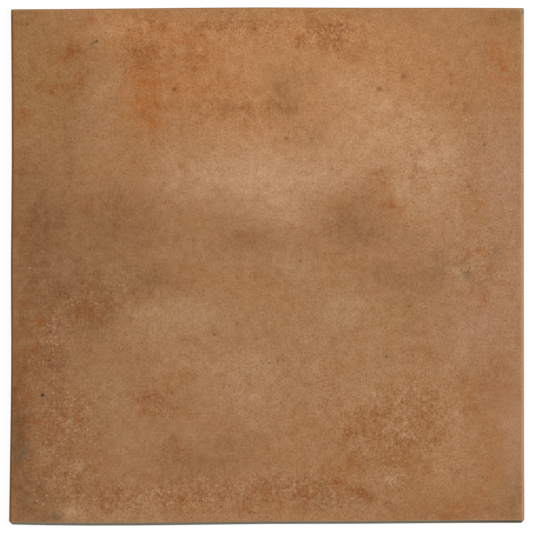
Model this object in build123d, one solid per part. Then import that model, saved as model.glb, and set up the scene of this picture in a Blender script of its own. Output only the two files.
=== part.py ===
from build123d import *
import os

# Body of the tile in millimetres: X across, Y along, Z up from the feet of the back ribs.
tile_width = 328.4  # across the widest line of the flank
tile_length = 331.4  # along the widest line of the flank
thickness = 9.0  # rib feet to face

# Flank, from the face down: a bevelled arris, a long slope out to the widest line,
# a plumb band, and a short slope back in to the foot.
arris_bevel = 0.4
slope_out = 1.3
plumb_band = 2.0
foot_height = 1.6
foot_in = 0.7
front_corner_cut = 2.0  # cut off the flank's two front corners, measured along the edges
back_corner_cut = 0.5  # cut off the two at the back

# Back: square keying pockets pressed in between flat ribs.
pocket_side = 20.0  # at the mouth
pocket_corner = 2.0  # cut across each corner of the mouth
pocket_depth = 0.8
pocket_draft = 40.0  # degrees from plumb
rib_width = 4.0
plain_border = 8.0  # least width of the flat rim outside the pockets

# The pressed outline isn't true. Each corner stands out from a perfect rectangle by
# (across, along), and each edge bows out from the line between its corners by these
# amounts at even stations. A minus sign is inwards.
corner_stands_out = {
    "front_left": (0.8, 0.0),
    "front_right": (-0.15, -1.05),
    "back_right": (0.4, 0.05),
    "back_left": (0.4, -0.7),
}
edge_bows_out = {
    ("front_left", "front_right"): (0.9, 0.7, 0.2, 0.25, 0.0),
    ("front_right", "back_right"): (-0.2, -0.2, -0.2, -0.2, -0.15),
    ("back_right", "back_left"): (0.4, 0.5, 0.85, 0.65, 0.2),
    ("back_left", "front_left"): (-0.6, -0.8, -0.55, -0.95, -0.6),
}


def corner_point(name):
    """One corner of the pressed outline, seen from above."""
    out_across, out_along = corner_stands_out[name]
    side_x = 1 if name.endswith("right") else -1
    side_y = 1 if name.startswith("back") else -1
    across = tile_width / 2 + out_across
    along = tile_length / 2 + out_along
    return Vector(side_x * across, side_y * along)


def pressed_edge(ends, bows):
    """One wandering edge, from corner to corner, anticlockwise round the tile."""
    start, finish = (corner_point(name) for name in ends)
    run = finish - start
    outward = Vector(run.Y, -run.X).normalized()
    stations = [
        start + run * (step / (len(bows) + 1)) + outward * bow
        for step, bow in enumerate(bows, start=1)
    ]
    return Spline(start, *stations, finish)


def corner_wedge(name):
    """What one corner of the flank lacks: a plumb wedge that stays clear of the face."""
    cut = front_corner_cut if name.startswith("front") else back_corner_cut
    turn = 45 if name in ("front_left", "back_right") else -45
    deep = 2 * cut / 2 ** 0.5
    return Pos(corner_point(name)) * Rot(0, 0, turn) * Box(deep, 3 * deep, 3 * thickness)


def pressed_body():
    """The tile without its keying pockets, centred over the origin."""
    outline = make_face([pressed_edge(*edge) for edge in edge_bows_out.items()])
    body = extrude(outline, thickness)

    face = body.faces().sort_by(Axis.Z)[-1]
    slope_height = thickness - plumb_band - foot_height
    body = chamfer(face.edges(), slope_out, slope_height, reference=face)
    foot = body.faces().sort_by(Axis.Z)[0]
    body = chamfer(foot.edges(), foot_in, foot_height, reference=foot)

    body -= [corner_wedge(name) for name in corner_stands_out]
    arris = body.faces().sort_by(Axis.Z)[-1].edges()
    body = chamfer(arris, arris_bevel)

    middle = body.bounding_box().center()
    return Pos(-middle.X, -middle.Y) * body


def cells_along(edge_length, pitch):
    """How many pockets fit between the two plain borders of the back."""
    room = edge_length - 2 * (foot_in + plain_border)
    return int((room + rib_width) // pitch)


def keying_pockets():
    """What the back die presses out: one drafted pocket in each cell of a centred grid."""
    pitch = pocket_side + rib_width
    square = Rectangle(pocket_side, pocket_side)
    mouth = chamfer(square.vertices(), pocket_corner)
    pocket = extrude(mouth, pocket_depth, taper=pocket_draft)
    cells = GridLocations(pitch, pitch, cells_along(tile_width, pitch), cells_along(tile_length, pitch))
    return [cell * pocket for cell in cells]


tile = pressed_body() - keying_pockets()

os.makedirs("parts", exist_ok=True)
export_step(tile, "parts/tile.step")
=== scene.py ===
import math

import bpy
import numpy as np
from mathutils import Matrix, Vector, noise
from mathutils.bvhtree import BVHTree
from mathutils.geometry import delaunay_2d_cdt


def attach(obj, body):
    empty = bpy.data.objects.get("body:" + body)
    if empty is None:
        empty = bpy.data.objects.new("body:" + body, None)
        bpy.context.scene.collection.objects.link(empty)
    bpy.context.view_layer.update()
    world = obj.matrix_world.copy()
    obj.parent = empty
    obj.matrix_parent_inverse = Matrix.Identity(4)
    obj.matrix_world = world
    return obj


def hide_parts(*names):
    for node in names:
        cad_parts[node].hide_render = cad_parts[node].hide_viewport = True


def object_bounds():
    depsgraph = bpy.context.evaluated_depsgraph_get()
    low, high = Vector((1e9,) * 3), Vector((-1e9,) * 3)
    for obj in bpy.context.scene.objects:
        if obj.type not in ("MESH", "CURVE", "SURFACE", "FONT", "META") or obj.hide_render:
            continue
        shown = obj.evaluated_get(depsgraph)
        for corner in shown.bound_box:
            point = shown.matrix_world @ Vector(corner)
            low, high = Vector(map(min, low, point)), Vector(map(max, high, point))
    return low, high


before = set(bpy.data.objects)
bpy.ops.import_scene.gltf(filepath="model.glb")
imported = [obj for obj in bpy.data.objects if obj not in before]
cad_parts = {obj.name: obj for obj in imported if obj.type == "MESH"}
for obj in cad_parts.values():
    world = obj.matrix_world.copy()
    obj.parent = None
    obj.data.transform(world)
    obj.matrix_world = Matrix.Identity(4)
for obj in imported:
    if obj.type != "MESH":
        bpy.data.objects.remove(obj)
cadLow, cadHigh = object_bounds()
mm = 0.001  # every size below is in millimetres unless a note says otherwise
print("frame loaded, CAD box", [round(v / mm, 2) for v in (*cadLow, *cadHigh)])


# The tile's mesh: one closed skin over the solid, fine enough to carry gentle relief

tileForm = {
    "sideCells": 264,  # quads along each side of the face
    "cornerCells": 4,  # how many of them go round half a corner
    "cornerInset": 3.0,  # the cells round a corner fan out from a point this far in
    "nearCorner": 8.0,  # where the straight edges are felt for, in from a corner
    "thickness": 9.0,
    "arrisFoot": 8.6,  # height at which the bevelled arris meets the sloped flank
    "slopeFoot": 3.6,  # height at which the sloped flank meets the plumb band
    "bandFoot": 1.6,  # height at which the plumb band meets the foot
    "feelWithin": 0.01,  # the flank is felt no nearer than this to the face and the foot
    "arrisSteps": 3,
    "slopeSteps": 5,
    "bandSteps": 2,
    "footSteps": 2,
    "edgeWander": 0.05,  # how far the pressed edge strays on top of its long waves
    "edgeWanderLength": 9.0,
    "sharpFrom": 34.0,  # degrees between faces from which an edge is drawn sharp
}

faceRelief = {
    "swell": 0.16,  # depth of the long undulations
    "swellLength": 62.0,
    "dimple": 0.05,  # depth of the small ones
    "dimpleLength": 11.0,
    "rimIn": 2.0,  # the face's rim lies about this far in from the widest outline
    "flatRim": 5.0,  # the relief dies out over this width inside the rim
}

cornerChip = {
    "centre": (164.0, 163.4),
    "reach": (1.5, 2.2),
    "depth": 0.5,
    "ragged": 0.35,  # share by which its outline strays
    "raggedSize": 0.8,
    "bareEdge": (1.05, 0.8),  # the glaze gives way to the body between these shares of the reach
}

keyedBack = {
    "pocketSide": 20.0,
    "ribWidth": 4.0,
    "pocketDepth": 0.8,
    "pocketDraft": 40.0,  # degrees
    "mouthCorner": 2.2,
    "cornerPoints": 4,
    "plainBorder": 8.7,  # least width outside the pockets
}


def feelFlank(solid, stations, height):
    # how far out the solid reaches from each station at this height
    reaches = []
    for x, y, outX, outY in stations:
        start = Vector((x, y, height)) * mm
        hit = solid.ray_cast(start, Vector((outX, outY, 0)))
        reaches.append(hit[3] / mm)
    return np.array(reaches)


def outlineStations(solid):
    # start points and outward directions, anticlockwise from the middle of the front left corner
    form = tileForm
    probe = (form["slopeFoot"] + form["bandFoot"]) / 2
    halfWide = (cadHigh.x - cadLow.x) / 2 / mm - form["nearCorner"]
    halfLong = (cadHigh.y - cadLow.y) / 2 / mm - form["nearCorner"]
    centres = []
    for sideX, sideY in ((-1, -1), (1, -1), (1, 1), (-1, 1)):
        reachX = feelFlank(solid, [(0, sideY * halfLong, sideX, 0)], probe)[0]
        reachY = feelFlank(solid, [(sideX * halfWide, 0, 0, sideY)], probe)[0]
        centres.append((sideX * (reachX - form["cornerInset"]), sideY * (reachY - form["cornerInset"])))

    stations = []
    straight = form["sideCells"] - 2 * form["cornerCells"]
    quarter = math.pi / 4
    for side in range(4):
        near, far = centres[side], centres[(side + 1) % 4]
        facing = math.radians(270 + 90 * side)
        for step in range(form["cornerCells"]):
            turn = facing - quarter + quarter * step / form["cornerCells"]
            stations.append((*near, math.cos(turn), math.sin(turn)))
        for step in range(straight + 1):
            share = step / straight
            x = near[0] + (far[0] - near[0]) * share
            y = near[1] + (far[1] - near[1]) * share
            stations.append((x, y, math.cos(facing), math.sin(facing)))
        for step in range(1, form["cornerCells"]):
            turn = facing + quarter * step / form["cornerCells"]
            stations.append((*far, math.cos(turn), math.sin(turn)))
    return stations


def flankRings(solid, stations):
    # (reach, height) of each ring from the face's rim down to the foot
    form = tileForm
    heights = [form["thickness"]]
    for part in ("arris", "slope", "band"):
        heights += list(np.linspace(heights[-1], form[part + "Foot"], form[part + "Steps"] + 1)[1:])
    heights += list(np.linspace(heights[-1], 0, form["footSteps"] + 1)[1:])

    face = feelFlank(solid, stations, form["arrisFoot"])
    wander = np.array([strayAt(x + outX * r, y + outY * r) for (x, y, outX, outY), r in zip(stations, face)])
    rings = []
    for height in heights:
        felt = min(max(height, form["feelWithin"]), form["thickness"] - form["feelWithin"])
        share = max(0, (height - form["slopeFoot"]) / (form["thickness"] - form["slopeFoot"]))
        rings.append((feelFlank(solid, stations, felt) + wander * share, height))
    return rings


def strayAt(x, y):
    # a small seeded wander of the pressed edge, inwards only
    length = tileForm["edgeWanderLength"]
    return -tileForm["edgeWander"] * (1 + noise.noise(Vector((x / length, y / length, 3.7))))


def faceGrid(rim):
    # fills the rim with a square grid of points, blended from its four sides
    cells = tileForm["sideCells"]
    front = np.vstack([rim[:cells], rim[cells]])
    right = np.vstack([rim[cells:2 * cells], rim[2 * cells]])
    back = np.vstack([rim[2 * cells:3 * cells], rim[3 * cells]])[::-1]
    left = np.vstack([rim[3 * cells:], rim[0]])[::-1]
    across = (front[:, 0] - front[0, 0]) / (front[-1, 0] - front[0, 0])
    along = (left[:, 1] - left[0, 1]) / (left[-1, 1] - left[0, 1])
    u = across[None, :, None]
    v = along[:, None, None]
    grid = (1 - v) * front[None] + v * back[None] + (1 - u) * left[:, None] + u * right[:, None]
    grid -= (1 - u) * (1 - v) * front[0] + u * (1 - v) * front[-1] + (1 - u) * v * back[0] + u * v * back[-1]
    return grid


def reliefAt(x, y, inFromEdge):
    # how far below the plane of the face the surface lies
    relief = faceRelief
    swell = 0.5 + 0.5 * noise.noise(Vector((x, y, 11.0)) / relief["swellLength"])
    dimple = 0.5 + 0.5 * noise.noise(Vector((x, y, 5.0)) / relief["dimpleLength"])
    fade = min(max(inFromEdge / relief["flatRim"], 0.0), 1.0)
    fade = fade * fade * (3 - 2 * fade)
    return fade * (relief["swell"] * swell + relief["dimple"] * dimple)


def chipAt(x, y):
    # depth of the small chip out of the back right corner
    chip = cornerChip
    acrossShare = (x - chip["centre"][0]) / chip["reach"][0]
    alongShare = (y - chip["centre"][1]) / chip["reach"][1]
    ragged = chip["ragged"] * noise.noise(Vector((x, y, 0)) / chip["raggedSize"])
    return chip["depth"] * max(0.0, 1 - acrossShare ** 2 - alongShare ** 2 + ragged)


def pocketLoop(x, y, side, corner):
    # one rounded square, anticlockwise
    points = []
    inner = side / 2 - corner
    for quarter, (sideX, sideY) in enumerate(((1, 1), (-1, 1), (-1, -1), (1, -1))):
        for step in range(keyedBack["cornerPoints"]):
            turn = math.pi / 2 * (quarter + step / (keyedBack["cornerPoints"] - 1))
            points.append((x + sideX * inner + corner * math.cos(turn),
                           y + sideY * inner + corner * math.sin(turn)))
    return points


def backPockets(wide, long):
    # mouth and floor loop of every keying pocket, on a centred grid
    back = keyedBack
    pitch = back["pocketSide"] + back["ribWidth"]
    shrink = 2 * back["pocketDepth"] * math.tan(math.radians(back["pocketDraft"]))
    counts = [int((length - 2 * back["plainBorder"] + back["ribWidth"]) // pitch) for length in (wide, long)]
    loops = []
    for row in range(counts[1]):
        for column in range(counts[0]):
            x = (column - (counts[0] - 1) / 2) * pitch
            y = (row - (counts[1] - 1) / 2) * pitch
            mouth = pocketLoop(x, y, back["pocketSide"], back["mouthCorner"])
            floorCorner = back["mouthCorner"] - shrink / 2
            floor = pocketLoop(x, y, back["pocketSide"] - shrink, floorCorner)
            loops.append((mouth, floor))
    return loops


def insidePocket(x, y, pockets):
    half = keyedBack["pocketSide"] / 2
    for mouth, _ in pockets:
        middleX = (mouth[0][0] + mouth[len(mouth) // 2][0]) / 2
        middleY = (mouth[0][1] + mouth[len(mouth) // 2][1]) / 2
        if abs(x - middleX) < half and abs(y - middleY) < half:
            corner = keyedBack["mouthCorner"]
            overX = abs(x - middleX) - (half - corner)
            overY = abs(y - middleY) - (half - corner)
            return overX < 0 or overY < 0 or math.hypot(overX, overY) < corner
    return False


def buildTile():
    solid = BVHTree.FromObject(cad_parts["tile"], bpy.context.evaluated_depsgraph_get())
    stations = outlineStations(solid)
    rings = flankRings(solid, stations)
    starts = np.array([(s[0], s[1]) for s in stations])
    outward = np.array([(s[2], s[3]) for s in stations])
    cells = tileForm["sideCells"]
    top = tileForm["thickness"]

    # face
    grid = faceGrid(starts + outward * rings[0][0][:, None])
    points = []
    halfWide = (cadHigh.x - cadLow.x) / 2 / mm
    halfLong = (cadHigh.y - cadLow.y) / 2 / mm
    for x, y in grid.reshape(-1, 2):
        inFromEdge = min(halfWide - abs(x), halfLong - abs(y)) - faceRelief["rimIn"]
        points.append((x, y, top - reliefAt(x, y, inFromEdge) - chipAt(x, y)))
    faces = []
    slots = []
    width = cells + 1
    for row in range(cells):
        for column in range(cells):
            corner = row * width + column
            faces.append((corner, corner + 1, corner + 1 + width, corner + width))
            slots.append(0)

    # flank
    last = cells * width
    ring = list(range(cells))
    ring += [row * width + cells for row in range(cells)]
    ring += [last + column for column in range(cells, 0, -1)]
    ring += [row * width for row in range(cells, 0, -1)]
    glazedRings = tileForm["arrisSteps"] + tileForm["slopeSteps"]
    count = len(ring)
    for level, (reach, height) in enumerate(rings[1:], start=1):
        lower = list(range(len(points), len(points) + count))
        for x, y in starts + outward * reach[:, None]:
            points.append((x, y, max(height - chipAt(x, y), 0.0)))
        for i in range(count):
            j = (i + 1) % count
            faces.append((ring[i], lower[i], lower[j], ring[j]))
            slots.append(1 if level <= glazedRings else 2)
        ring = lower

    # back, with its keying pockets
    pockets = backPockets(2 * halfWide, 2 * halfLong)
    flat = [Vector(points[i][:2]) for i in ring]
    loops = [list(range(count))]
    for mouth, _ in pockets:
        loops.append(list(range(len(flat), len(flat) + len(mouth))))
        flat += [Vector(p) for p in mouth]
    edges = [(loop[i], loop[(i + 1) % len(loop)]) for loop in loops for i in range(len(loop))]
    spots, _, triangles, origins, _, _ = delaunay_2d_cdt(flat, edges, [], 1, 1e-6)
    home = {}
    for spot, source in enumerate(origins):
        home[spot] = ring[source[0]] if source[0] < count else None
    for spot, place in enumerate(spots):
        if home[spot] is None:
            home[spot] = len(points)
            points.append((place.x, place.y, 0.0))
    spotOf = {source[0]: spot for spot, source in enumerate(origins)}
    for a, b, c in triangles:
        middle = (spots[a] + spots[b] + spots[c]) / 3
        if not insidePocket(middle.x, middle.y, pockets):
            faces.append((home[c], home[b], home[a]))
            slots.append(2)
    for loop, (_, floor) in zip(loops[1:], pockets):
        mouthPoints = [home[spotOf[i]] for i in loop]
        floorPoints = list(range(len(points), len(points) + len(floor)))
        points.extend((x, y, keyedBack["pocketDepth"]) for x, y in floor)
        for i in range(len(loop)):
            j = (i + 1) % len(loop)
            faces.append((mouthPoints[j], mouthPoints[i], floorPoints[i], floorPoints[j]))
            slots.append(2)
        faces.append(tuple(reversed(floorPoints)))
        slots.append(2)

    mesh = bpy.data.meshes.new("terracottaTile")
    mesh.from_pydata([Vector(p) * mm for p in points], [], faces)
    mesh.polygons.foreach_set("material_index", slots)
    mesh.shade_smooth()
    mesh.set_sharp_from_angle(angle=math.radians(tileForm["sharpFrom"]))
    mesh.update()
    tile = bpy.data.objects.new("terracottaTile", mesh)
    bpy.context.scene.collection.objects.link(tile)
    triangleCount = sum(len(p.vertices) - 2 for p in mesh.polygons)
    print("tile meshed,", len(points), "points,", triangleCount, "triangles")
    return tile


# Node helpers

def linear(red, green, blue):
    # a colour picked as 0 to 255, in the shader's linear light
    def channel(value):
        share = value / 255
        return share / 12.92 if share <= 0.04045 else ((share + 0.055) / 1.055) ** 2.4
    return (channel(red), channel(green), channel(blue), 1.0)


class NodeBoard:
    # a node tree with short ways to add the few nodes that are used here
    def __init__(self, tree):
        self.tree = tree

    def add(self, kind, **settings):
        node = self.tree.nodes.new(kind)
        for name, value in settings.items():
            setattr(node, name, value)
        return node

    def put(self, socket, value):
        if isinstance(value, bpy.types.NodeSocket):
            self.tree.links.new(value, socket)
        elif value is not None:
            socket.default_value = value

    def math(self, operation, a, b=None, clamp=False):
        node = self.add("ShaderNodeMath", operation=operation, use_clamp=clamp)
        self.put(node.inputs[0], a)
        self.put(node.inputs[1], b)
        return node.outputs[0]

    def vector(self, operation, a, b=None, scale=None):
        node = self.add("ShaderNodeVectorMath", operation=operation)
        self.put(node.inputs[0], a)
        if operation == "SCALE":
            self.put(node.inputs["Scale"], scale)
        elif b is not None:
            self.put(node.inputs[1], b)
        return node.outputs["Value" if operation == "DISTANCE" else "Vector"]

    def noise(self, point, size, detail=2.0, roughness=0.5, seed=0, flat=True):
        node = self.add("ShaderNodeTexNoise", noise_dimensions="2D" if flat else "3D")
        self.put(node.inputs["Vector"], self.vector("ADD", point, (seed * 137.0, seed * 71.0, 0)))
        self.put(node.inputs["Scale"], 1 / size)
        self.put(node.inputs["Detail"], detail)
        self.put(node.inputs["Roughness"], roughness)
        return node.outputs["Fac"]

    def ramp(self, value, low, high, toLow=0.0, toHigh=1.0, smooth=True):
        node = self.add("ShaderNodeMapRange", interpolation_type="SMOOTHSTEP" if smooth else "LINEAR")
        self.put(node.inputs["Value"], value)
        self.put(node.inputs["From Min"], low)
        self.put(node.inputs["From Max"], high)
        self.put(node.inputs["To Min"], toLow)
        self.put(node.inputs["To Max"], toHigh)
        return node.outputs["Result"]

    def mix(self, share, a, b, blend="MIX"):
        node = self.add("ShaderNodeMix", data_type="RGBA", blend_type=blend)
        self.put(node.inputs["Factor"], share)
        self.put(node.inputs[6], a)
        self.put(node.inputs[7], b)
        return node.outputs[2]

    def group(self, tree, **values):
        node = self.add("ShaderNodeGroup", node_tree=tree)
        for name, value in values.items():
            self.put(node.inputs[name], value)
        return node.outputs


def newGroup(name, inputs, outputs):
    tree = bpy.data.node_groups.new(name, "ShaderNodeTree")
    for socketName, kind in inputs.items():
        tree.interface.new_socket(name=socketName, in_out="INPUT", socket_type=kind)
    for socketName, kind in outputs.items():
        tree.interface.new_socket(name=socketName, in_out="OUTPUT", socket_type=kind)
    board = NodeBoard(tree)
    return board, board.add("NodeGroupInput").outputs, board.add("NodeGroupOutput").inputs


number = "NodeSocketFloat"
vector = "NodeSocketVector"
colour = "NodeSocketColor"


# Shared effects

# Flecks show where their noise passes a start, which drops as their cover goes up
fleckSpread = {"roughness": 0.68, "start": 0.68, "startDrop": 0.24}


def makeFlecks(look, seed):
    # ragged flecks of about one size; more of them as Cover goes up
    board, given, out = newGroup("flecks", {"Point": vector, "Cover": number}, {"Mask": number})
    field = board.noise(given["Point"], look["size"], look["detail"], fleckSpread["roughness"], seed)
    drop = board.math("MULTIPLY", given["Cover"], fleckSpread["startDrop"])
    start = board.math("SUBTRACT", fleckSpread["start"], drop)
    board.put(out["Mask"], board.ramp(field, start, board.math("ADD", start, look["edge"])))
    return board.tree


def makePits():
    # pinholes: one small round hole in some of the cells
    board, given, out = newGroup(
        "pits",
        {"Point": vector, "Spacing": number, "Radius": number, "Share": number},
        {"Mask": number})
    cell = board.add("ShaderNodeTexVoronoi", feature="F1", voronoi_dimensions="2D")
    board.put(cell.inputs["Vector"], given["Point"])
    board.put(cell.inputs["Scale"], board.math("DIVIDE", 1.0, given["Spacing"]))
    distance = board.math("MULTIPLY", cell.outputs["Distance"], given["Spacing"])
    split = board.add("ShaderNodeSeparateColor")
    board.put(split.inputs["Color"], cell.outputs["Color"])
    chosen = board.math("LESS_THAN", split.outputs[0], given["Share"])
    size = board.math("MULTIPLY", given["Radius"], board.ramp(split.outputs[1], 0.0, 1.0, 0.5, 1.3))
    hole = board.ramp(distance, size, board.math("MULTIPLY", size, 0.35))
    board.put(out["Mask"], board.math("MULTIPLY", hole, chosen))
    return board.tree


grainLook = {"size": 1.5, "detail": 2.0, "roughness": 0.6, "seed": 4}


def makeGrain():
    # the sandy tooth of the fired clay, as a height from 0 to 1
    board, given, out = newGroup("clayGrain", {"Point": vector}, {"Height": number})
    board.put(out["Height"], board.noise(given["Point"], **grainLook, flat=False))
    return board.tree


bodyLook = {
    "clay": linear(133, 126, 110),
    "paleClay": linear(158, 151, 134),
    "darkSpeck": linear(78, 70, 58),
    "cloudSize": 14.0,
    "cloudEdge": (0.35, 0.68),
    "speckSize": 1.3,
    "speckEdge": (0.62, 0.7),
    "speckStrength": 0.5,
    "toothShade": (0.86, 1.14),  # how dark the low grains are and how light the high ones: painted shade and highlight
    "toothDepth": 0.12,
    "roughness": (0.7, 0.9),
}

barePits = {"spacing": 5.0, "radius": 0.4, "share": 0.5, "strength": 0.6, "depth": 0.3}


def makeBareBody(grain):
    # colour and height of the bare grey fired body, with painted shade in its low grains and painted
    # highlight on its high ones
    board, given, out = newGroup("bareBody", {"Point": vector}, {"Color": colour, "Height": number})
    cloud = board.noise(given["Point"], bodyLook["cloudSize"], 2.0, 0.6, 2, flat=False)
    clay = board.mix(board.ramp(cloud, *bodyLook["cloudEdge"]), bodyLook["clay"], bodyLook["paleClay"])
    speck = board.noise(given["Point"], bodyLook["speckSize"], 1.0, 0.5, 6, flat=False)
    speck = board.ramp(speck, *bodyLook["speckEdge"], 0.0, bodyLook["speckStrength"])
    clay = board.mix(speck, clay, bodyLook["darkSpeck"])
    tooth = board.group(grain, Point=given["Point"])["Height"]
    shade = board.ramp(tooth, 0.3, 0.7, *bodyLook["toothShade"], smooth=False)
    board.put(out["Color"], board.vector("SCALE", clay, scale=shade))
    board.put(out["Height"], tooth)
    return board.tree


# The glazed face

faceLook = {
    "ground": linear(165, 119, 77),
    "drift": ((55.0, 3.0), (24.0, 2.5), (10.0, 2.0), (4.5, 1.2)),  # length and reach of the stains' wander
    "driftSeed": 2,
    "fraySizes": (11.0, 7.0, 5.0),
    "frayEdge": (0.36, 0.64),
    "mottleSize": 6.0,
    "mottle": 0.7,
    "grainSize": 1.35,
    "grain": 0.86,
    "liveliness": (0.6, 1.14),  # how strong both are where the face is calm and where flecks crowd
    "livelyZone": (-0.3, 0.7),  # what the fleck zones say in those two places
    "swing": (0.39, 0.64, 1.06),  # how much of the mottle and grain each of red, green and blue takes
    "warmthSize": 2.4,
    "warmth": 0.22,
    "warmSwing": (0.3, -0.1, -0.9),
    "toothDepth": 0.05,
    "roughness": (0.58, 0.74),
    "shine": 0.2,
}

# Broad washes of colour, as x, y, reach across, reach along and strength. Back edge at +y.
washLayers = {
    "peachWash": {
        "tint": linear(188, 132, 84), "break": 0.1, "strength": 1.15,
        "patches": [
            (-30, 124, 56, 38, 0.7), (40, 112, 48, 42, 0.4), (78, 92, 38, 34, 0.3),
            (20, 154, 60, 12, 0.35), (-10, 82, 46, 14, 0.35), (100, 136, 34, 26, 0.3),
            (-96, 152, 24, 14, 0.5), (55, 140, 22, 20, 0.2), (-60, 150, 44, 14, 0.3),
            (38, 151, 30, 12, 0.42), (-20, 62, 70, 16, 0.15), (105, 108, 40, 24, 0.12),
        ],
    },
    "orangeWash": {
        "tint": linear(178, 110, 56), "break": 0.7, "strength": 1.0,
        "patches": [
            (-80, 122, 17, 34, 0.47), (-77, 96, 12, 14, 0.42), (-50, 138, 26, 18, 0.25),
            (-45, 112, 34, 12, 0.3), (150, 128, 10, 24, 0.3), (-163, 60, 3, 60, 0.3),
            (-60, 149, 40, 15, 0.12), (30, 151, 30, 12, 0.1),
        ],
    },
    "paleWash": {
        "tint": linear(196, 154, 116), "break": 0.15, "strength": 1.0,
        "patches": [
            (-2, 60, 52, 20, 0.55), (80, 84, 38, 28, 0.2), (98, 62, 24, 24, 0.3), (5, 36, 28, 12, 0.35),
            (110, 30, 18, 14, 0.25), (62, 62, 20, 14, 0.2), (120, 62, 16, 14, 0.14),
        ],
    },
    "ochreWash": {
        "tint": linear(154, 108, 58), "break": 0.2, "strength": 1.0,
        "patches": [
            (-136, 118, 26, 40, 0.58), (-157, 140, 10, 26, 0.3), (152, 160, 14, 8, 0.4),
            (-118, 62, 24, 20, 0.15),
        ],
    },
    # darker over the left part: the tile's own tone and painted shade, where the light from the right falls
    # off
    "shadeWash": {
        "tint": linear(119, 79, 46), "break": 0.3, "strength": 1.2,
        "patches": [
            (-150, 18, 24, 48, 0.45), (-120, -18, 24, 42, 0.34), (-96, 30, 26, 20, 0.28),
            (-72, -8, 24, 10, 0.22), (-160, -88, 11, 44, 0.65), (-152, -146, 18, 22, 0.45),
            (-138, -70, 14, 30, 0.35), (-132, -112, 16, 18, 0.2), (-105, -34, 14, 14, 0.3),
            (-140, -163, 26, 8, 0.2), (-163, -118, 7, 26, 0.3), (-95, -8, 26, 26, 0.15),
            (-152, -30, 16, 24, 0.2), (-100, -94, 24, 26, 0.18), (-118, -140, 24, 24, 0.16),
            (-135, 32, 26, 14, 0.13), (-90, -60, 18, 14, 0.1), (-164, 110, 5, 60, 0.2),
        ],
    },
    "roseWash": {
        "tint": linear(169, 128, 98), "break": 0.2, "strength": 1.0,
        "patches": [
            (152, 44, 16, 56, 0.6), (140, -42, 22, 32, 0.55), (158, -112, 10, 36, 0.5),
            (122, 6, 20, 26, 0.3), (112, -44, 20, 18, 0.3),
        ],
    },
    "mauveWash": {
        "tint": linear(144, 100, 66), "break": 0.3, "strength": 1.0,
        "patches": [
            (88, -6, 30, 14, 0.4), (58, 27, 19, 15, 0.42),
        ],
    },
    "strawWash": {
        "tint": linear(170, 130, 91), "break": 0.15, "strength": 1.0,
        "patches": [
            (-56, -36, 34, 15, 0.55), (46, -28, 34, 15, 0.5), (-36, 2, 30, 10, 0.3),
            (14, 2, 18, 16, 0.3), (-85, -160, 44, 8, 0.35), (-16, -76, 42, 22, 0.5),
            (40, -62, 50, 20, 0.3), (-104, -76, 14, 34, 0.3),
        ],
    },
    "brownWash": {
        "tint": linear(146, 100, 62), "break": 0.25, "strength": 1.0,
        "patches": [
            (-50, -122, 40, 16, 0.4), (20, -147, 70, 11, 0.3), (-69, -88, 20, 10, 0.4),
            (70, -116, 34, 26, 0.18), (-12, 14, 34, 13, 0.25), (112, -156, 42, 8, 0.45),
            (145, -78, 16, 24, 0.35), (150, -142, 26, 30, 0.28), (130, -34, 40, 40, 0.1),
        ],
    },
}

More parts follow.
